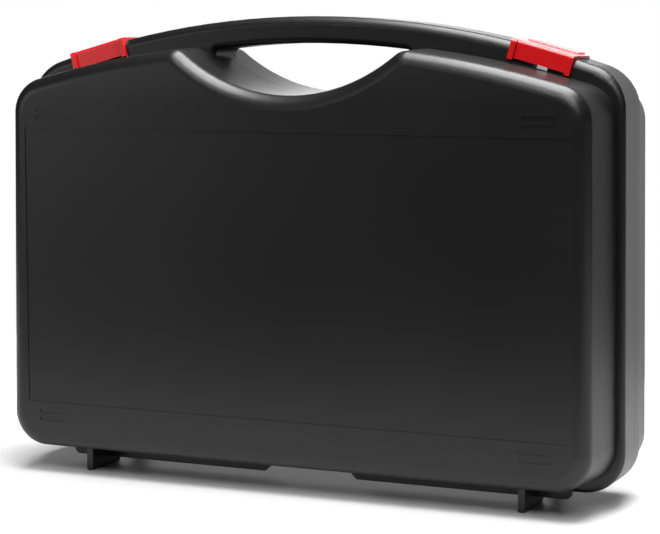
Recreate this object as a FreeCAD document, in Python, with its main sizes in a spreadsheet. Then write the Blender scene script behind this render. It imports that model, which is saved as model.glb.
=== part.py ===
import FreeCAD, Part
import math
import os

import Sketcher
from FreeCAD import Placement, Rotation, Vector

# Hard tool case that stands on its hinge edge. X runs along the hinge, Y from the front
# face of the base shell to the back face of the lid, Z up from the floor. The origin is
# on the floor, in the middle of the case's depth.

# Driving dimensions in millimetres. Heights are above the floor, drops are measured down
# from the handle's crest, insets in from the rim's widest place, setbacks from the nearest
# big face. The lean is in degrees.
SIZES = {
    "base_depth": 68.2,
    "lid_depth": 42.0,
    "seam_gap": 0.3,
    "wall": 3.0,
    "overrun": 2.0,
    # rim that runs round both shells and carries the handle
    "rim_half_width": 218.9,
    "side_lean": 0.87,
    "rim_bottom": 11.0,
    "base_rim_depth": 23.5,
    "lid_rim_depth": 14.0,
    "rim_top_corner": 29.5,
    "rim_bottom_corner": 27.0,
    "rim_round": 3.0,
    "handle_crest": 315.0,
    "handle_arch": 622.7,
    "handle_round": 6.0,
    # trays of both shells, at their big faces and at the seam
    "face_inset": 11.2,
    "lid_face_inset": 3.0,
    "seam_inset": 1.8,
    "face_bottom": 18.5,
    "seam_bottom": 18.0,
    "face_drop": 17.5,
    "seam_drop": 15.0,
    "tray_arch": 712.0,
    "tray_top_corner": 24.0,
    "tray_bottom_corner": 24.0,
    "face_round": 10.0,
    "shoulder_clear": 2.7,
    "shoulder_arc": 230.0,
    # hand recess and the grip over it
    "scoop_radius": 120.0,
    "scoop_drop": 51.3,
    "scoop_edge_round": 12.0,
    "grip_height": 17.8,
    "grip_tip_round": 4.0,
    "grip_round": 4.0,
    "grip_wall": 5.5,
    "grip_hollow_clear": 12.0,
    "grip_rib": 2.0,
    "grip_rib_pitch": 32.0,
    # outlined panel and corner marks on the two big faces
    "panel_inset": 24.9,
    "panel_bottom": 50.5,
    "panel_drop": 75.0,
    "panel_recess": 0.5,
    "mark_length": 21.6,
    "mark_height": 2.8,
    "mark_pitch": 5.3,
    "mark_inset": 33.8,
    "mark_margin": 6.4,
    "mark_recess": 0.5,
    # feet
    "foot_inset": 60.4,
    "foot_thickness": 4.6,
    "foot_setback": 21.2,
    "foot_length": 38.0,
    "lid_foot_setback": 9.0,
    "lid_foot_length": 14.4,
    "foot_round": 1.6,
    # hinge
    "hinge_height": 10.5,
    "hinge_inner": 37.0,
    "hinge_inset": 46.9,
    "knuckle_gap": 0.4,
    "barrel_radius": 4.5,
    "barrel_relief": 0.3,
    "hinge_pin_radius": 2.0,
    "hinge_pin_clearance": 0.05,
    "hinge_pin_inset": 1.0,
    "hinge_web": 6.0,
    "hinge_web_drop": 2.5,
    "skirt_inner": 30.0,
    "skirt_inset": 34.6,
    "skirt_thickness": 3.0,
    "skirt_chamfer": 4.0,
    "skirt_round": 4.0,
    # latches, measured along, into and across the arch of the handle
    "latch_inset": 57.0,
    "latch_width": 42.8,
    "latch_gap": 0.4,
    "latch_proud": 1.6,
    "latch_stand": 1.0,
    "latch_drop": 11.4,
    "latch_plate": 2.4,
    "latch_rail": 3.6,
    "latch_rail_proud": 1.6,
    "latch_panel_rise": 1.2,
    "latch_round": 2.0,
    "ear_drop": 8.0,
    "lip_depth": 1.8,
    "lip_height": 1.4,
    "lip_half_width": 12.0,
    "pin_behind_seam": 5.0,
    "pin_depth": 4.2,
    "pin_radius": 1.5,
    "pin_clearance": 0.05,
    "pin_seat": 3.4,
    "bridge_reach": 11.0,
    "bridge_behind_seam": 9.8,
    "bridge_proud": 2.4,
    "bridge_bottom": 8.0,
    "bridge_round": 0.8,
    "bridge_leg_width": 6.0,
    "catch_depth": 4.6,
    "catch_top": 5.0,
    "catch_bottom": 9.4,
    "catch_wall": 2.4,
    "notch_floor": 12.4,
    "window_width": 10.0,
    "pry_slot_width": 5.0,
    "pry_slot_depth": 1.2,
}
KNUCKLES_PER_HINGE = 5
GRIP_RIBS = 7
NEAR = 0.01
SLANT_SHARE = 0.2
MARK_ROUND_SHARE = 0.49

doc = FreeCAD.newDocument("tool_case")
sheet = doc.addObject("Spreadsheet::Sheet", "Sizes")
for row, (alias, size) in enumerate(SIZES.items(), start=1):
    sheet.set("A%d" % row, alias)
    sheet.set("B%d" % row, repr(size))
    sheet.setAlias("B%d" % row, alias)
doc.recompute()


class Size:
    """A length that keeps its formula in the sheet's aliases beside its number."""

    def __init__(self, text, number):
        self.text = text
        self.number = number

    def join(self, sign, other, swap=False):
        other = other if isinstance(other, Size) else Size(repr(float(other)), float(other))
        left, right = (other, self) if swap else (self, other)
        number = {"+": lambda a, b: a + b, "-": lambda a, b: a - b,
                  "*": lambda a, b: a * b, "/": lambda a, b: a / b}[sign](left.number, right.number)
        return Size("(%s %s %s)" % (left.text, sign, right.text), number)

    def __add__(self, other):
        return self.join("+", other)

    def __radd__(self, other):
        return self.join("+", other, swap=True)

    def __sub__(self, other):
        return self.join("-", other)

    def __rsub__(self, other):
        return self.join("-", other, swap=True)

    def __mul__(self, other):
        return self.join("*", other)

    def __rmul__(self, other):
        return self.join("*", other, swap=True)

    def __truediv__(self, other):
        return self.join("/", other)

    def __neg__(self):
        return self.join("*", -1)

    def __float__(self):
        return self.number


class Sizes:
    """The sheet's cells by name."""

    def __getattr__(self, alias):
        return Size("Sizes." + alias, float(sheet.get(alias)))


s = Sizes()
zero = Size("0", 0.0)

# Places that several pieces share: along Y, up from the floor, out from the middle, and
# across the arch of the handle.
case_depth = s.base_depth + s.lid_depth
front = case_depth / -2
back = case_depth / 2
seam = front + s.base_depth
lid_seam = seam + s.seam_gap
rim_front = seam - s.base_rim_depth
rim_back = seam + s.lid_rim_depth
hinge_y = seam + s.seam_gap / 2
face_crest = s.handle_crest - s.face_drop
scoop_floor = s.handle_crest - s.scoop_drop
scoop_centre = scoop_floor + s.scoop_radius
shoulder_start = scoop_floor - s.wall - s.shoulder_clear
panel_top = s.handle_crest - s.panel_drop
skirt_foot = s.hinge_height - s.barrel_radius
panel_half = s.rim_half_width - s.panel_inset
foot_offset = s.rim_half_width - s.foot_inset
hinge_outer = s.rim_half_width - s.hinge_inset
latch_offset = s.rim_half_width - s.latch_inset
arch_centre = s.handle_crest - s.handle_arch
grip_under = s.handle_arch - s.grip_height


def bind(thing, path, size):
    """Tie one property to the sheet, or set it where the formula has no alias."""
    if "Sizes." in size.text:
        thing.setExpression(path, size.text)
    else:
        setattr(thing, path, float(size))


def box(name, x, y, z, frame=None):
    """A block between two places on each axis, in the case's frame or a tilted one."""
    block = doc.addObject("Part::Box", name)
    for side, (low, high) in zip(("Length", "Width", "Height"), (x, y, z)):
        bind(block, side, high - low)
    corner = Vector(float(x[0]), float(y[0]), float(z[0]))
    if frame is None:
        block.Placement.Base = corner
        for axis, (low, high) in zip("xyz", (x, y, z)):
            if "Sizes." in low.text:
                block.setExpression("Placement.Base." + axis, low.text)
    else:
        block.Placement = frame.multiply(Placement(corner, Rotation()))
    return block


def round_bar(name, radius, start, end, turn, frame=None):
    """A cylinder of a length from one point, its axis turned away from Z."""
    bar = doc.addObject("Part::Cylinder", name)
    bind(bar, "Radius", radius)
    bind(bar, "Height", end)
    place = Placement(Vector(*(float(part) for part in start)), turn)
    bar.Placement = place if frame is None else frame.multiply(place)
    return bar


ALONG_Y = Rotation(Vector(1, 0, 0), -90)
ALONG_X = Rotation(Vector(0, 1, 0), 90)
UPRIGHT = Rotation(Vector(1, 0, 0), 90)


def fuse(name, parts):
    whole = doc.addObject("Part::MultiFuse", name)
    whole.Shapes = parts
    return whole


def cut(name, body, tool):
    rest = doc.addObject("Part::Cut", name)
    rest.Base = body
    rest.Tool = tool
    return rest


def common(name, first, second):
    shared = doc.addObject("Part::Common", name)
    shared.Base = first
    shared.Tool = second
    return shared


def rounded(name, body, radii):
    """Fillet the edges for which radii(edge) gives a radius, or a pair of them."""
    doc.recompute()
    picked = []
    for number, edge in enumerate(body.Shape.Edges, start=1):
        radius = radii(edge)
        if radius:
            first, last = radius if isinstance(radius, tuple) else (radius, radius)
            picked.append((number, float(first), float(last)))
    smooth = doc.addObject("Part::Fillet", name)
    smooth.Base = body
    smooth.Edges = picked
    return smooth


def on_plane(edge, y):
    return all(abs(edge.valueAt(at).y - float(y)) < NEAR
               for at in (edge.FirstParameter, (edge.FirstParameter + edge.LastParameter) / 2,
                          edge.LastParameter))


def runs_along(edge, direction):
    span = edge.valueAt(edge.LastParameter) - edge.valueAt(edge.FirstParameter)
    if span.Length == 0 or len(edge.Vertexes) != 2:
        return False
    return span.normalize().cross(direction).Length < SLANT_SHARE


def outline(name, y, half_width, bottom, crest, arch, top_corner, bottom_corner):
    """Sketch across the case: straight foot, leaning sides, arched top, four round corners."""
    wide, low, top = float(half_width), float(bottom), float(crest)
    big, upper, lower = float(arch), float(top_corner), float(bottom_corner)
    middle = top - big
    leant = (top - low) * math.tan(math.radians(float(s.side_lean)))
    corner_x = wide - leant - upper
    corner_z = middle + math.sqrt((big - upper) ** 2 - corner_x ** 2)
    lean = math.atan2(corner_z - middle, corner_x)
    foot_x, foot_z = wide - lower, low + lower
    quarter = math.pi / 2

    def arc(x, z, radius, start, end):
        circle = Part.Circle(Vector(x, z, 0), Vector(0, 0, 1), radius)
        return Part.ArcOfCircle(circle, start, end)

    sketch = doc.addObject("Sketcher::SketchObject", name)
    sketch.addGeometry([
        Part.LineSegment(Vector(-foot_x, low, 0), Vector(foot_x, low, 0)),
        arc(foot_x, foot_z, lower, -quarter, 0),
        Part.LineSegment(Vector(wide, foot_z, 0), Vector(wide - leant, corner_z, 0)),
        arc(corner_x, corner_z, upper, 0, lean),
        arc(0, middle, big, lean, math.pi - lean),
        arc(-corner_x, corner_z, upper, math.pi - lean, math.pi),
        Part.LineSegment(Vector(leant - wide, corner_z, 0), Vector(-wide, foot_z, 0)),
        arc(-foot_x, foot_z, lower, math.pi, 3 * quarter),
    ], False)
    for side in range(8):
        sketch.addConstraint(Sketcher.Constraint("Tangent", side, 2, (side + 1) % 8, 1))
    sketch.addConstraint(Sketcher.Constraint("Horizontal", 0))
    sketch.addConstraint(Sketcher.Constraint("PointOnObject", 4, 3, -2))
    for line, way in ((2, 1), (6, -1)):
        angle = (s.side_lean + 90) * way
        number = sketch.addConstraint(Sketcher.Constraint("Angle", line, math.radians(float(angle))))
        sketch.setExpression("Constraints[%d]" % number, angle.text)
    driven = [
        ("Radius", (1,), bottom_corner),
        ("Radius", (7,), bottom_corner),
        ("Radius", (3,), top_corner),
        ("Radius", (5,), top_corner),
        ("Radius", (4,), arch),
        ("DistanceY", (-1, 1, 0, 1), bottom),
        ("DistanceX", (-1, 1, 2, 1), half_width),
        ("DistanceX", (6, 2, -1, 1), half_width),
        ("DistanceY", (4, 3, -1, 1), arch - crest),
    ]
    for kind, places, size in driven:
        number = sketch.addConstraint(Sketcher.Constraint(kind, *places, float(size)))
        sketch.setExpression("Constraints[%d]" % number, size.text)
    sketch.Placement = Placement(Vector(0, float(y), 0), UPRIGHT)
    sketch.setExpression("Placement.Base.y", y.text)
    return sketch


def slab(name, sketch, depth, way):
    """A sketch pulled along one direction."""
    solid = doc.addObject("Part::Extrusion", name)
    solid.Base = sketch
    solid.DirMode = "Custom"
    solid.Dir = way
    solid.Solid = True
    bind(solid, "LengthFwd", depth)
    return solid


def set_back(arc, height):
    """How far the shoulder's arc has left the face at a height."""
    return float(arc) - math.sqrt(float(arc) ** 2 - float(height - shoulder_start) ** 2)


def side_profile(name, face, depth, arc, looks):
    """Solid whose face is flat up to the shoulder and curves back above it."""
    deep, start, top, big = float(depth), float(shoulder_start), float(s.handle_crest), float(arc)
    end = set_back(arc, s.handle_crest)
    curve = Part.ArcOfCircle(Part.Circle(Vector(big, start, 0), Vector(0, 0, 1), big),
                             math.atan2(top - start, end - big), math.pi)
    sketch = doc.addObject("Sketcher::SketchObject", name)
    sketch.addGeometry([
        Part.LineSegment(Vector(0, 0, 0), Vector(0, start, 0)),
        curve,
        Part.LineSegment(Vector(end, top, 0), Vector(deep, top, 0)),
        Part.LineSegment(Vector(deep, top, 0), Vector(deep, 0, 0)),
        Part.LineSegment(Vector(deep, 0, 0), Vector(0, 0, 0)),
    ], False)
    for places in ((0, 1, -1, 1), (1, 1, 2, 1), (2, 2, 3, 1), (3, 2, 4, 1), (4, 2, 0, 1)):
        sketch.addConstraint(Sketcher.Constraint("Coincident", *places))
    sketch.addConstraint(Sketcher.Constraint("Tangent", 0, 2, 1, 2))
    for kind, line in (("Vertical", 0), ("Horizontal", 2), ("Vertical", 3), ("Horizontal", 4)):
        sketch.addConstraint(Sketcher.Constraint(kind, line))
    for kind, places, size in (("DistanceY", (-1, 1, 0, 2), shoulder_start), ("Radius", (1,), arc),
                               ("DistanceY", (-1, 1, 2, 1), s.handle_crest),
                               ("DistanceX", (-1, 1, 3, 2), depth)):
        number = sketch.addConstraint(Sketcher.Constraint(kind, *places, float(size)))
        sketch.setExpression("Constraints[%d]" % number, size.text)
    turn = Rotation(Vector(0, 0, 1), 90 * looks).multiply(UPRIGHT)
    reach = (s.rim_half_width + s.overrun) * -looks
    sketch.Placement = Placement(Vector(float(reach), float(face), 0), turn)
    sketch.setExpression("Placement.Base.x", reach.text)
    sketch.setExpression("Placement.Base.y", face.text)
    return slab(name + "_solid", sketch, (s.rim_half_width + s.overrun) * 2, Vector(looks, 0, 0))


def tray(name, face, mouth, face_inset, inset, looks):
    """The drafted block of a shell, or of its hollow where it is inset by the wall.

    face and mouth are places along Y. looks is 1 where the block's face looks to the
    front and -1 where it looks to the back.
    """
    sections = []
    for part, y, half, low, crest in (
            ("face", face, s.rim_half_width - face_inset, s.face_bottom, face_crest),
            ("mouth", mouth, s.rim_half_width - s.seam_inset, s.seam_bottom, s.handle_crest - s.seam_drop)):
        sections.append(outline(name + "_" + part, y, half - inset, low + inset, crest - inset,
                                s.tray_arch - inset, s.tray_top_corner - inset,
                                s.tray_bottom_corner - inset))
    block = doc.addObject("Part::Loft", name + "_block")
    block.Sections = sections
    block.Solid = True
    block.Ruled = True
    scoop = round_bar(name + "_scoop", s.scoop_radius + inset, (zero, front - s.overrun, scoop_centre),
                      case_depth + s.overrun * 2, ALONG_Y)
    scooped = cut(name + "_scooped", block, scoop)

    arc = s.shoulder_arc - inset
    shouldered = common(name + "_shouldered", scooped,
                        side_profile(name + "_profile", face, (mouth - face) * looks, arc, looks))

    def lip(edge):
        beside_scoop = runs_along(edge, Vector(0, 1, 0)) and abs(edge.CenterOfMass.x) < float(s.scoop_radius)
        return float(s.scoop_edge_round - inset) if beside_scoop else 0

    eased = rounded(name + "_eased", shouldered, lip)
    drop = set_back(arc, face_crest)

    def face_edge(edge):
        near = all(abs(edge.valueAt(at).y - float(face)) < drop
                   for at in (edge.FirstParameter, edge.LastParameter))
        level = abs(edge.CenterOfMass.z - float(shoulder_start)) < NEAR
        crease = level and edge.Curve.TypeId == "Part::GeomLine"
        return float(s.face_round - inset) if near and not crease else 0

    return rounded(name + "_round", eased, face_edge)


def latch_frame(side):
    """Frame tangent to the handle's arch at a latch: its Z is the distance from the arch's centre."""
    lean = math.degrees(math.asin(float(latch_offset) / float(s.handle_arch)))
    return Placement(Vector(0, 0, float(arch_centre)), Rotation(Vector(0, 1, 0), side * lean))


def arch_frame(distance):
    """The same kind of frame at a distance along the handle."""
    turn = math.degrees(float(distance) / float(s.handle_arch))
    return Placement(Vector(0, 0, float(arch_centre)), Rotation(Vector(0, 1, 0), turn))


def below(depth):
    """Distance from the arch's centre of a place below the handle's top."""
    return s.handle_arch - depth


# Places inside a latch.
half_latch = s.latch_width / 2
half_notch = half_latch + s.latch_gap
half_inner = half_latch - s.latch_rail
half_bridge = half_inner - s.latch_gap
panel_front = rim_front - s.latch_stand
panel_inner = panel_front + s.latch_plate
catch_front = panel_inner + s.lip_depth + s.latch_gap
pin_y = seam + s.pin_behind_seam
bridge_back = seam + s.bridge_behind_seam
ear_radius = s.pin_depth + s.latch_proud
pin_bore = s.pin_radius + s.pin_clearance
panel_foot = below(s.latch_drop - s.latch_panel_rise)


def pin_axis_bar(name, radius, half_length, frame):
    """A bar on a latch's pin axis, reaching the same way to both sides."""
    return round_bar(name, radius, (-half_length, pin_y, below(s.pin_depth)), half_length * 2,
                     ALONG_X, frame)


def catch_bar(name, frame):
    """Bar that the lever's lip holds, on a wall with a window in its middle."""
    bar = box(name + "_bar", (-half_bridge, half_bridge), (catch_front, catch_front + s.catch_depth),
              (below(s.catch_bottom), below(s.catch_top)), frame)
    stand = box(name + "_wall", (-half_bridge, half_bridge), (catch_front, catch_front + s.catch_wall),
                (below(s.notch_floor + s.overrun), below(s.catch_bottom)), frame)
    window = box(name + "_window", (s.window_width / -2, s.window_width / 2),
                 (catch_front - s.overrun, catch_front + s.catch_depth),
                 (below(s.notch_floor + s.overrun * 2), below(s.catch_bottom)), frame)
    return cut(name, fuse(name + "_solid", [bar, stand]), window)


def bridge_legs(name, frame):
    """Two legs of the lid that the bridge stands on."""
    legs = []
    for side in (-1, 1):
        ends = (half_bridge * side, (half_bridge - s.bridge_leg_width) * side)
        low, high = ends if float(ends[0]) < float(ends[1]) else ends[::-1]
        legs.append(box("%s_%d" % (name, len(legs)), (low, high), (lid_seam, bridge_back),
                        (below(s.notch_floor + s.overrun), below(s.bridge_bottom)), frame))
    return legs


def notch(name, y, frame, kept):
    """Opening in the rim for a latch, less what stays standing in it."""
    room = box(name + "_room", (-half_notch, half_notch), y,
               (below(s.notch_floor), s.handle_arch + s.notch_floor), frame)
    return cut(name, room, kept)


def grip_hollow(name, y):
    """Moulding pocket inside the handle, crossed by ribs."""
    def cylinder(part, radius):
        return round_bar(name + part, radius, (zero, y[0], arch_centre), y[1] - y[0], ALONG_Y)
    ring = cut(name + "_ring", cylinder("_over", below(s.wall)), cylinder("_under", grip_under + s.grip_wall))
    half = latch_offset - half_notch - s.grip_hollow_clear
    sector = box(name + "_sector", (-half, half), y, (scoop_floor, s.handle_crest + s.overrun))
    ribs = []
    for number in range(GRIP_RIBS):
        frame = arch_frame(s.grip_rib_pitch * (number - (GRIP_RIBS - 1) / 2))
        ribs.append(box("%s_rib_%d" % (name, number), (s.grip_rib / -2, s.grip_rib / 2), y,
                        (grip_under, s.handle_arch), frame))
    return cut(name, common(name + "_pocket", ring, sector), fuse(name + "_ribs", ribs))


def rim(name, y, outside):
    """Plate that carries the handle: outline, hand hole, and its outer edges rounded."""
    plate = slab(name + "_plate", outline(name + "_outline", y[0], s.rim_half_width, s.rim_bottom,
                                          s.handle_crest, s.handle_arch, s.rim_top_corner,
                                          s.rim_bottom_corner), y[1] - y[0], Vector(0, 1, 0))
    reach = (y[0] - s.overrun, y[1] - y[0] + s.overrun * 2)
    scoop = round_bar(name + "_scoop", s.scoop_radius, (zero, reach[0], scoop_centre), reach[1], ALONG_Y)
    under = round_bar(name + "_under", grip_under, (zero, reach[0], arch_centre), reach[1], ALONG_Y)
    lens = common(name + "_lens", scoop, under)
    hole = rounded(name + "_hole", lens,
                   lambda edge: float(s.grip_tip_round) if runs_along(edge, Vector(0, 1, 0)) else 0)
    holed = cut(name + "_holed", plate, hole)

    def edges(edge):
        if not on_plane(edge, outside):
            return 0
        middle = edge.valueAt((edge.FirstParameter + edge.LastParameter) / 2)
        in_hole = abs(edge.CenterOfMass.x) < float(s.scoop_radius) and edge.Length < float(s.rim_half_width)
        if in_hole:
            return float(s.grip_round) if middle.z > float(scoop_floor + s.grip_height) else 0
        if abs(middle.z - float(s.handle_crest)) < NEAR:
            return float(s.handle_round)
        if middle.z > float(shoulder_start) and edge.Curve.TypeId == "Part::GeomCircle":
            ends = [edge.valueAt(at) for at in (edge.FirstParameter, edge.LastParameter)]
            thick = [float(s.handle_round) if point.z > middle.z else float(s.rim_round) for point in ends]
            return tuple(thick)
        return float(s.rim_round)

    return rounded(name, holed, edges)


def panel_and_marks(name, face, inward):
    """Recesses in a big face: the outlined panel and two bars at each corner."""
    def shallow(depth):
        ends = (face - s.overrun * inward, face + depth * inward)
        return ends if inward > 0 else ends[::-1]
    tools = [box(name + "_panel", (-panel_half, panel_half), shallow(s.panel_recess),
                 (s.panel_bottom, panel_top))]
    heights = (panel_top + s.mark_margin, panel_top + s.mark_margin + s.mark_pitch,
               s.panel_bottom - s.mark_margin, s.panel_bottom - s.mark_margin - s.mark_pitch)
    mark_outer = s.rim_half_width - s.mark_inset
    for side in (-1, 1):
        for height in heights:
            ends = ((mark_outer - s.mark_length) * side, mark_outer * side)
            ends = ends if side > 0 else ends[::-1]
            bar = box("%s_mark_%d" % (name, len(tools)), ends, shallow(s.mark_recess),
                      (height - s.mark_height / 2, height + s.mark_height / 2))
            nearly_half = float(s.mark_height) * MARK_ROUND_SHARE
            tools.append(rounded("%s_mark_round_%d" % (name, len(tools)), bar,
                                 lambda edge: nearly_half if runs_along(edge, Vector(0, 1, 0)) else 0))
    return tools


def foot(name, side, y):
    """Upright fin under a shell, its long lower edges rounded."""
    middle = foot_offset * side
    fin = box(name + "_fin", (middle - s.foot_thickness / 2, middle + s.foot_thickness / 2), y,
              (zero, s.face_bottom + s.wall / 2))
    return rounded(name, fin, lambda edge: float(s.foot_round)
                   if runs_along(edge, Vector(0, 1, 0)) and edge.CenterOfMass.z < float(s.foot_round) else 0)


hinge_length = hinge_outer - s.hinge_inner
knuckle_pitch = hinge_length / KNUCKLES_PER_HINGE


def knuckle_span(side, number, spread):
    """Both ends along X of one knuckle, drawn in or let out by a spread."""
    start = s.hinge_inner + knuckle_pitch * number - spread
    end = s.hinge_inner + knuckle_pitch * (number + 1) + spread
    return (start, end) if side > 0 else (-end, -start)


def knuckles(name, side, numbers, web_way):
    """Barrels of one shell on one hinge, with the webs that join them to its rim."""
    parts = []
    for number in numbers:
        low, high = knuckle_span(side, number, s.knuckle_gap / -2)
        parts.append(round_bar("%s_barrel_%d" % (name, number), s.barrel_radius,
                               (low, hinge_y, s.hinge_height), high - low, ALONG_X))
        reach = (hinge_y - s.hinge_web, hinge_y) if web_way < 0 else (hinge_y, hinge_y + s.hinge_web)
        parts.append(box("%s_web_%d" % (name, number), (low, high), reach,
                         (s.hinge_height - s.hinge_web_drop, s.rim_bottom + s.wall / 2)))
    return parts


def reliefs(name, side, numbers):
    """Room in one shell for the other shell's barrels."""
    tools = []
    for number in numbers:
        low, high = knuckle_span(side, number, s.knuckle_gap / 2)
        tools.append(round_bar("%s_%d" % (name, number), s.barrel_radius + s.barrel_relief,
                               (low, hinge_y, s.hinge_height), high - low, ALONG_X))
    return tools


def pin_passage(name, side):
    low = s.hinge_inner if side > 0 else -hinge_outer
    return round_bar(name, s.hinge_pin_radius + s.hinge_pin_clearance,
                     (low - s.overrun, hinge_y, s.hinge_height), hinge_length + s.overrun * 2, ALONG_X)


def skirt(name, side):
    """Strip that hides a hinge from the front: its inner end cut off, its outer end round."""
    outer = s.rim_half_width - s.skirt_inset
    low, high = (s.skirt_inner, outer) if side > 0 else (-outer, -s.skirt_inner)
    strip = box(name + "_strip", (low, high), (rim_front, rim_front + s.skirt_thickness),
                (skirt_foot, s.rim_bottom + s.wall / 2))

    def lower_end(edge, place):
        low_down = edge.CenterOfMass.z < float(skirt_foot) + NEAR
        at_end = abs(edge.CenterOfMass.x - float(place) * side) < NEAR
        return low_down and at_end and runs_along(edge, Vector(0, 1, 0))

    soft = rounded(name + "_soft", strip, lambda edge: s.skirt_round if lower_end(edge, outer) else 0)
    doc.recompute()
    chamfered = doc.addObject("Part::Chamfer", name)
    chamfered.Base = soft
    chamfered.Edges = [(number, float(s.skirt_chamfer), float(s.skirt_chamfer))
                       for number, edge in enumerate(soft.Shape.Edges, start=1)
                       if lower_end(edge, s.skirt_inner)]
    return chamfered


SIDES = {"left": -1, "right": 1}
even = range(0, KNUCKLES_PER_HINGE, 2)
odd = range(1, KNUCKLES_PER_HINGE, 2)


def base_shell():
    body = [tray("base_tray", front, seam, s.face_inset, zero, 1),
            rim("base_rim", (rim_front, seam), rim_front)]
    tools = [tray("base_room", front + s.wall, seam, s.face_inset, s.wall, 1),
             grip_hollow("base_grip", (rim_front + s.wall, seam + s.overrun))]
    tools += panel_and_marks("front", front, 1)
    for word, side in SIDES.items():
        body.append(foot("base_foot_" + word, side, (front + s.foot_setback,
                                                     front + s.foot_setback + s.foot_length)))
        body.append(skirt("skirt_" + word, side))
        body += knuckles("base_knuckle_" + word, side, even, -1)
        tools += reliefs("base_relief_" + word, side, odd)
        tools.append(pin_passage("base_pin_passage_" + word, side))
        frame = latch_frame(side)
        tools.append(notch("base_notch_" + word, (rim_front - s.overrun, seam + s.overrun), frame,
                           catch_bar("catch_" + word, frame)))
    return cut("base_shell", fuse("base_body", body), fuse("base_tools", tools))


def lid_shell():
    body = [tray("lid_tray", back, lid_seam, s.lid_face_inset, zero, -1),
            rim("lid_rim", (lid_seam, rim_back), rim_back)]
    tools = [tray("lid_room", back - s.wall, lid_seam, s.lid_face_inset, s.wall, -1),
             grip_hollow("lid_grip", (lid_seam - s.overrun, rim_back - s.wall))]
    tools += panel_and_marks("rear", back, -1)
    for word, side in SIDES.items():
        foot_back = back - s.lid_foot_setback
        body.append(foot("lid_foot_" + word, side, (foot_back - s.lid_foot_length, foot_back)))
        body += knuckles("lid_knuckle_" + word, side, odd, 1)
        tools += reliefs("lid_relief_" + word, side, even)
        tools.append(pin_passage("lid_pin_passage_" + word, side))
        frame = latch_frame(side)
        tools.append(notch("lid_notch_" + word, (lid_seam - s.overrun, rim_back + s.overrun), frame,
                           fuse("bridge_legs_" + word, bridge_legs("bridge_leg_" + word, frame))))
        tools.append(pin_axis_bar("lid_latch_bore_" + word, pin_bore, half_notch + s.pin_seat, frame))
    return cut("lid_shell", fuse("lid_body", body), fuse("lid_tools", tools))


def latch_lever(word, side):
    """Red lever: front panel between two rails that run back over the top to the pin."""
    frame = latch_frame(side)
    name = "latch_lever_" + word
    top = s.handle_arch + s.latch_proud
    parts = [
        box(name + "_panel", (-half_inner, half_inner), (panel_front, panel_inner),
            (panel_foot, top), frame),
        box(name + "_top", (-half_inner, half_inner), (panel_inner, pin_y),
            (top - s.latch_plate, top), frame),
        box(name + "_lip", (-s.lip_half_width, s.lip_half_width), (panel_inner, panel_inner + s.lip_depth),
            (panel_foot, panel_foot + s.lip_height), frame),
    ]
    sweep = round_bar(name + "_sweep", s.bridge_reach + s.latch_gap,
                      (-half_inner, pin_y, below(s.pin_depth)), half_inner * 2, ALONG_X, frame)
    across = frame.Rotation.multVec(Vector(1, 0, 0))

    def brow(edge):
        local = frame.inverse().multVec(edge.CenterOfMass)
        high = abs(local.z - float(top)) < NEAR and local.y < float(panel_inner)
        return float(s.latch_round) if high and runs_along(edge, across) else 0

    plates = rounded(name + "_plates_soft", fuse(name + "_plates", parts), brow)
    body = [cut(name + "_middle", plates, sweep)]
    for way in (-1, 1):
        ends = (half_inner, half_latch) if way > 0 else (-half_latch, -half_inner)
        part = "%s_rail_%s" % (name, "outer" if way * side > 0 else "inner")
        rail = box(part, ends, (panel_front - s.latch_rail_proud, panel_inner),
                   (below(s.latch_drop), top), frame)
        arm = box(part + "_arm", ends, (panel_inner, pin_y), (below(s.ear_drop), top), frame)
        ear = round_bar(part + "_ear", ear_radius, (ends[0], pin_y, below(s.pin_depth)), s.latch_rail,
                        ALONG_X, frame)
        body.append(rounded(part + "_soft", fuse(part + "_whole", [rail, arm, ear]), brow))
    slot = box(name + "_slot", (s.pry_slot_width / -2, s.pry_slot_width / 2),
               (pin_y - s.bridge_reach - s.latch_plate, pin_y),
               (top - s.pry_slot_depth, top + s.overrun), frame)
    bore = pin_axis_bar(name + "_bore", pin_bore, half_latch + s.overrun, frame)
    return cut(name, fuse(name + "_blank", body), fuse(name + "_tools", [slot, bore]))


def latch_bridge(word, side):
    """Red block between the lever's arms that stands on the lid and holds the pin."""
    frame = latch_frame(side)
    name = "latch_bridge_" + word
    top = s.handle_arch + s.bridge_proud
    block = box(name + "_block", (-half_bridge, half_bridge), (pin_y - s.bridge_reach, bridge_back),
                (below(s.bridge_bottom), top), frame)
    swing = pin_axis_bar(name + "_swing", s.bridge_reach, half_bridge + s.overrun, frame)
    across = frame.Rotation.multVec(Vector(1, 0, 0))
    curved = common(name + "_curved", block, swing)

    def crown(edge):
        local = frame.inverse().multVec(edge.CenterOfMass)
        return float(s.bridge_round) if abs(local.z - float(top)) < NEAR else 0

    soft = rounded(name + "_soft", curved, crown)
    return cut(name, soft, pin_axis_bar(name + "_bore", pin_bore, half_bridge + s.overrun, frame))


def latch_pin(word, side):
    reach = half_notch + s.pin_seat - s.latch_gap / 2
    return pin_axis_bar("latch_pin_" + word, s.pin_radius, reach, latch_frame(side))


def hinge_pin(word, side):
    low = s.hinge_inner + s.hinge_pin_inset if side > 0 else -hinge_outer + s.hinge_pin_inset
    return round_bar("hinge_pin_" + word, s.hinge_pin_radius, (low, hinge_y, s.hinge_height),
                     hinge_length - s.hinge_pin_inset * 2, ALONG_X)


nodes = [base_shell(), lid_shell()]
for word, side in SIDES.items():
    nodes += [latch_lever(word, side), latch_bridge(word, side), latch_pin(word, side), hinge_pin(word, side)]
doc.recompute()

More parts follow.
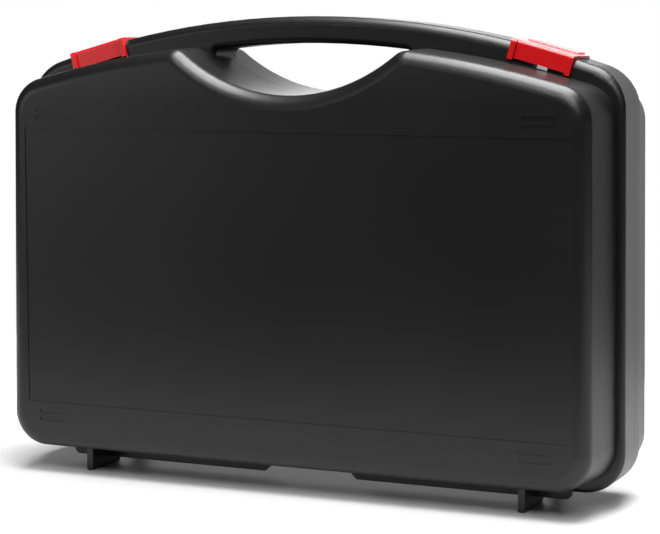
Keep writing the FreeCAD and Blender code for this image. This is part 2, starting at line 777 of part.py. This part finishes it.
for thing in doc.Objects:
    if "Invalid" in thing.State or "Error" in thing.State:
        raise RuntimeError("%s did not build: %s" % (thing.Name, thing.State))
for node in nodes:
    node.Label = node.Name
    if node.Shape.isNull() or not node.Shape.isValid() or len(node.Shape.Solids) != 1:
        raise RuntimeError("%s is not one valid solid" % node.Label)

os.makedirs("parts", exist_ok=True)
for node in nodes:
    node.Shape.exportStep("parts/%s.step" % node.Label)
    size = node.Shape.BoundBox
    print("%s: %.1f cm3, %.1f x %.1f x %.1f mm" % (node.Label, node.Shape.Volume / 1000,
                                                  size.XLength, size.YLength, size.ZLength))
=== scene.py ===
# %% [markdown]
# # A hard tool case on a white table
#
# This notebook dresses a finished model of a moulded tool case for a studio
# picture. The model comes in as a frame of separate pieces, and every piece
# keeps its place and its shape. What is added here is the finish of each
# piece, the table, the room, the lamps and the camera.

import math

import bpy
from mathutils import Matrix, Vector

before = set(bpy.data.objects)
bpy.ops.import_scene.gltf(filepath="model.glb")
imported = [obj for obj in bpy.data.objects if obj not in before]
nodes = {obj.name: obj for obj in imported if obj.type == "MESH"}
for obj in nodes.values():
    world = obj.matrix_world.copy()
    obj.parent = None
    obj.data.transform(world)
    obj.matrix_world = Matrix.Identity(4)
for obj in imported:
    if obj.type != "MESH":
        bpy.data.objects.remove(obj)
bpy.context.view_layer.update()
print("pieces:", ", ".join(sorted(nodes)))

# %% [markdown]
# ## Lengths
#
# Blender works in metres. The grain of a mould and the place of a camera are
# easier to talk about in millimetres, so one value turns the one into the
# other. The table and the lamps are given in metres.

# %% Units
MM = 0.001
print("one millimetre is", MM, "metres")

# %% [markdown]
# ## Shader sums written as sums
#
# A finish is mostly arithmetic: a noise times a small number, plus another.
# Wiring that by hand, node by node, hides the thought. The first class here
# stands for the output of a node, and adding to it or multiplying it places
# the Math node that does so. The second holds the nodes of one material, and
# its one method for making a node sets values and draws links alike.

# %% A node output that can be added and multiplied
class Wire:
    """The output of one shader node."""

    def __init__(self, nest, socket):
        self.nest = nest
        self.socket = socket

    def combine(self, operation, other):
        return self.nest.node("ShaderNodeMath", {0: self, 1: other}, operation=operation)

    def __add__(self, other):
        return self.combine("ADD", other)

    def __mul__(self, other):
        return self.combine("MULTIPLY", other)


class Nest:
    """The nodes of one material or of the world."""

    def __init__(self, owner):
        owner.use_nodes = True
        self.tree = owner.node_tree
        self.tree.nodes.clear()

    def node(self, kind, sockets=None, out=0, **settings):
        made = self.tree.nodes.new(kind)
        for name, value in settings.items():
            setattr(made, name, value)
        for name, value in (sockets or {}).items():
            if isinstance(value, Wire):
                self.tree.links.new(value.socket, made.inputs[name])
            else:
                made.inputs[name].default_value = value
        return Wire(self, made.outputs[out])

    def end(self, kind, wire):
        last = self.tree.nodes.new(kind)
        self.tree.links.new(wire.socket, last.inputs["Surface"])


print("a Wire knows", [name for name in ("__add__", "__mul__") if hasattr(Wire, name)])

# %% [markdown]
# ## What the finishes share
#
# Each finish starts with a place on the piece, in metres from the piece's
# own origin, so it stays put when a lid or a lever moves. Places in the
# picture or on the screen would swim over a moving piece. Each finish also
# blends two close tones of one colour by a noise, because no moulding has
# one flat tone. The colour sockets of a Mix node share their names with its
# other sockets, so they are picked by number.

# %% Shared helpers
MIX_SHARE = 0
MIX_FIRST = 6
MIX_SECOND = 7
MIX_COLOUR = 2
OPAQUE = 1.0
FINE_DETAIL = 2.0


def colour(red, green, blue):
    return (red, green, blue, OPAQUE)


def new_finish(name):
    finish = bpy.data.materials.new(name)
    return finish, Nest(finish)


def place_on_piece(nest):
    return nest.node("ShaderNodeTexCoord", out="Object")


def noise(nest, place, per_metre, detail=FINE_DETAIL):
    return nest.node("ShaderNodeTexNoise", {
        "Vector": place, "Scale": per_metre, "Detail": detail})


def blend(nest, share, first, second):
    return nest.node("ShaderNodeMix", {
        MIX_SHARE: share, MIX_FIRST: first, MIX_SECOND: second},
        out=MIX_COLOUR, data_type="RGBA")


def bumped(nest, height, strength, depth):
    return nest.node("ShaderNodeBump", {
        "Height": height, "Strength": strength, "Distance": depth})


WHITE = colour(1, 1, 1)
print("white is written as", WHITE)

# %% [markdown]
# ## Black moulded plastic
#
# The shells are polypropylene from a steel mould whose faces were etched
# with a fine grain. The real grain is far smaller than a pixel, so what it
# does is spread the highlights. It could be modelled, painted on or left to
# the roughness alone. Modelling it would cost millions of faces, and painted
# grain wouldn't catch the light. So a noise drives a bump. It is about a
# millimetre wide, coarser than the real grain, so that it still shows from
# close by. A broad noise moves the roughness a little, as the flow in the
# mould does. The colour is very dark and hardly changes, because most of
# what the eye sees of black plastic is what it mirrors.

# %% Finish of the shells
GRAINS_PER_METRE = 900.0
GRAIN_DEPTH = 0.05 * MM
GRAIN_STRENGTH = 0.7
FLOW_LINES_PER_METRE = 9.0
FLOW_DETAIL = 3.0
FLOW_ROUGHENS_BY = 0.08
SHELL_ROUGHNESS = 0.31
SHELL_IOR = 1.46
SHELL_DARKER = colour(0.0028, 0.0028, 0.0031)
SHELL_LIGHTER = colour(0.0038, 0.0038, 0.0042)


def shell_finish():
    finish, nest = new_finish("black_moulded_shell")
    place = place_on_piece(nest)
    grain = noise(nest, place, GRAINS_PER_METRE)
    flow = noise(nest, place, FLOW_LINES_PER_METRE, FLOW_DETAIL)
    skin = nest.node("ShaderNodeBsdfPrincipled", {
        "Base Color": blend(nest, flow, SHELL_DARKER, SHELL_LIGHTER),
        "Roughness": flow * FLOW_ROUGHENS_BY + SHELL_ROUGHNESS,
        "Normal": bumped(nest, grain, GRAIN_STRENGTH, GRAIN_DEPTH),
        "IOR": SHELL_IOR})
    nest.end("ShaderNodeOutputMaterial", skin)
    return finish


black = shell_finish()
print("made", black.name)

# %% [markdown]
# ## Red latch plastic
#
# The levers and bridges of the latches come from a polished mould, in a
# bright red plastic. They are smoother than the shells and mirror more of
# the lamps. A clear coat over the red would do for paint, but this colour
# goes right through. So the plastic itself is made smoother, with a faint
# ripple as a polished mould leaves it.

# %% Finish of the latches
RIPPLES_PER_METRE = 220.0
RIPPLE_DEPTH = 0.05 * MM
RIPPLE_STRENGTH = 0.1
RIPPLE_ROUGHENS_BY = 0.06
LATCH_ROUGHNESS = 0.25
LATCH_IOR = 1.49
LATCH_DARKER = colour(0.47, 0.003, 0.005)
LATCH_LIGHTER = colour(0.52, 0.004, 0.007)


def latch_finish():
    finish, nest = new_finish("red_latch_plastic")
    ripple = noise(nest, place_on_piece(nest), RIPPLES_PER_METRE)
    skin = nest.node("ShaderNodeBsdfPrincipled", {
        "Base Color": blend(nest, ripple, LATCH_DARKER, LATCH_LIGHTER),
        "Roughness": ripple * RIPPLE_ROUGHENS_BY + LATCH_ROUGHNESS,
        "Normal": bumped(nest, ripple, RIPPLE_STRENGTH, RIPPLE_DEPTH),
        "IOR": LATCH_IOR})
    nest.end("ShaderNodeOutputMaterial", skin)
    return finish


red = latch_finish()
print("made", red.name)

# %% [markdown]
# ## Steel pins
#
# The pins of the hinge and the latches are drawn wire, cut to length.
# Drawing leaves fine lines along the wire. They could be cut as grooves,
# but they are thinner than a hair. So a noise is squeezed in Y and Z and
# left long in X, the way that the hinge pins lie, and it moves the tone and
# the roughness. The latch pins are tilted by some degrees, which doesn't
# show on pieces so small.

# %% Finish of the pins
LINES_ALONG_AND_ACROSS = (40.0, 2500.0, 2500.0)
LINES_SCALE = 1.0
LINES_ROUGHEN_BY = 0.2
PIN_ROUGHNESS = 0.22
ALL_METAL = 1.0
STEEL_DARKER = colour(0.48, 0.48, 0.49)
STEEL_LIGHTER = colour(0.62, 0.62, 0.63)


def pin_finish():
    finish, nest = new_finish("drawn_steel_pin")
    squeezed = nest.node("ShaderNodeMapping", {
        "Vector": place_on_piece(nest), "Scale": LINES_ALONG_AND_ACROSS})
    lines = noise(nest, squeezed, LINES_SCALE)
    skin = nest.node("ShaderNodeBsdfPrincipled", {
        "Base Color": blend(nest, lines, STEEL_DARKER, STEEL_LIGHTER),
        "Roughness": lines * LINES_ROUGHEN_BY + PIN_ROUGHNESS,
        "Metallic": ALL_METAL})
    nest.end("ShaderNodeOutputMaterial", skin)
    return finish


steel = pin_finish()
print("made", steel.name)

# %% [markdown]
# ## Which piece wears which finish
#
# Each real piece is moulded or drawn from one material, so each wears one
# finish. A list of ten names would do, but the names already say what the
# pieces are. So shells are black, pins are steel, and what is left are the
# levers and bridges of the latches, which are red.

# %% Put the finishes on
def wear(piece, finish):
    piece.data.materials.clear()
    piece.data.materials.append(finish)


for name, piece in nodes.items():
    if name.endswith("_shell"):
        wear(piece, black)
    elif "pin" in name:
        wear(piece, steel)
    else:
        wear(piece, red)
print("finishes are on", len(nodes), "pieces")

# %% [markdown]
# ## Table
#
# The case stands on a white table with nothing behind it. A curved sheet of
# paper from the table up the wall is usual in a studio, but it would stand
# in the way when the case is looked at from behind. So the table is one flat
# sheet. It takes the shadow, it ends close behind the case while it is still
# well lit, and past it the camera sees plain white. Its pale grey comes out
# white under the overhead lamp, which is strong enough to draw bright lines
# on black plastic.

# %% Table
TABLE_GREY = 0.6
TABLE_ROUGHNESS = 0.6
TABLE_SHEEN = 0.2
TABLE_LEFT = -1.6
TABLE_RIGHT = 1.6
TABLE_FRONT = -0.34
TABLE_BACK = 0.5


def table_finish():
    finish, nest = new_finish("white_table")
    skin = nest.node("ShaderNodeBsdfPrincipled", {
        "Base Color": colour(TABLE_GREY, TABLE_GREY, TABLE_GREY),
        "Roughness": TABLE_ROUGHNESS, "Specular IOR Level": TABLE_SHEEN})
    nest.end("ShaderNodeOutputMaterial", skin)
    return finish


def flat_sheet(name, left, right, front, back):
    corners = [(left, front, 0), (right, front, 0), (right, back, 0), (left, back, 0)]
    mesh = bpy.data.meshes.new(name)
    mesh.from_pydata(corners, [], [tuple(range(len(corners)))])
    sheet = bpy.data.objects.new(name, mesh)
    bpy.context.scene.collection.objects.link(sheet)
    return sheet


table = flat_sheet("table", TABLE_LEFT, TABLE_RIGHT, TABLE_FRONT, TABLE_BACK)
wear(table, table_finish())
print("the table reaches", table.dimensions[:], "metres")

# %% [markdown]
# ## The room around the table
#
# In the photograph the big face is nearly black, the side is dark grey and
# the top edges are almost white. All three are the same plastic. What
# differs is what each one mirrors: the face mirrors the dim room behind the
# photographer, and the side and the tops mirror the white wall behind the
# case. Painting the pieces in different greys would be wrong from every
# other side. So the room itself goes from dim in front to white straight
# behind, by the Y part of the direction that a ray takes. Only the camera
# sees plain white everywhere.

# %% World
DIM_ROOM = 0.045
WHITE_WALL = 0.92
SEEN_WHITE = 1.0
WALL_BEGINS = 0.75
WALL_IS_FULL = 1.0


def glow(nest, strength):
    return nest.node("ShaderNodeBackground", {"Color": WHITE, "Strength": strength})


def mix_lights(nest, share, first, second):
    return nest.node("ShaderNodeMixShader", {0: share, 1: first, 2: second})


world = bpy.data.worlds.new("studio")
bpy.context.scene.world = world
nest = Nest(world)
seen_by_camera = nest.node("ShaderNodeLightPath", out="Is Camera Ray")
direction = nest.node("ShaderNodeTexCoord", out="Generated")
straight_behind = nest.node("ShaderNodeSeparateXYZ", {"Vector": direction}, out="Y")
wall_share = nest.node("ShaderNodeMapRange", {
    "Value": straight_behind, "From Min": WALL_BEGINS, "From Max": WALL_IS_FULL},
    interpolation_type="SMOOTHSTEP")
room = mix_lights(nest, wall_share, glow(nest, DIM_ROOM), glow(nest, WHITE_WALL))
sky = mix_lights(nest, seen_by_camera, room, glow(nest, SEEN_WHITE))
nest.end("ShaderNodeOutputWorld", sky)
print("the room is", DIM_ROOM, "in front and", WHITE_WALL, "behind")

# %% [markdown]
# ## Lamps
#
# A product table has wide soft boxes, because a small lamp would give hard
# shadows and pinpoint highlights. The overhead one draws the bright lines
# along the top edges and lights the table. The one in front and above fills
# the front of the case and the table before it. The window on the left
# brightens the left of the big face, and the box behind on the left
# brightens the scoop under the handle.

# %% Soft boxes
AIM = Vector((0, 0, 0.15))
SOFT_BOXES = {
    "overhead": {"place": (0.2, 0.0, 1.7), "width": 1.7, "height": 1.1, "watts": 86},
    "front_top": {"place": (0.45, -1.35, 1.45), "width": 1.5, "height": 0.9, "watts": 24},
    "left_window": {"place": (-1.8, -1.9, 0.6), "width": 1.0, "height": 1.1, "watts": 8},
    "back_left": {"place": (-1.25, 2.7, 0.55), "width": 1.6, "height": 0.9, "watts": 15},
}


def point_at(thing, direction):
    thing.rotation_mode = "QUATERNION"
    thing.rotation_quaternion = direction.to_track_quat("-Z", "Y")


def soft_box(name, place, width, height, watts):
    lamp = bpy.data.lights.new(name, "AREA")
    lamp.shape = "RECTANGLE"
    lamp.size = width
    lamp.size_y = height
    lamp.energy = watts
    holder = bpy.data.objects.new(name, lamp)
    holder.location = place
    point_at(holder, AIM - Vector(place))
    bpy.context.scene.collection.objects.link(holder)


for name, box in SOFT_BOXES.items():
    soft_box(name, **box)
    print(name, "gives", box["watts"], "W")

# %% [markdown]
# ## Camera
#
# The picture was taken with a long lens from a little to the right and
# a little above. The camera could be aimed at the case by eye, but then the
# outline never quite fits. So its place, its turn to the left and its dip
# were found by fitting the outline of the case. The place is given from the
# middle of the case's foot.

# %% Camera
EYE_PLACE = Vector((579.0, -1274.7, 307.4)) * MM
TURN = math.radians(24.058)
DIP = math.radians(6.541)
SENSOR_WIDTH = 36.0
LENS = 113.9

eye = bpy.data.objects.new("camera", bpy.data.cameras.new("camera"))
eye.data.sensor_width = SENSOR_WIDTH
eye.data.lens = LENS
eye.location = EYE_PLACE
level = math.cos(DIP)
point_at(eye, Vector((-math.sin(TURN) * level, math.cos(TURN) * level, -math.sin(DIP))))
bpy.context.scene.collection.objects.link(eye)
bpy.context.scene.camera = eye
bpy.context.scene.view_settings.view_transform = "Standard"
print("the camera is", round(EYE_PLACE.length, 2), "metres from the case")
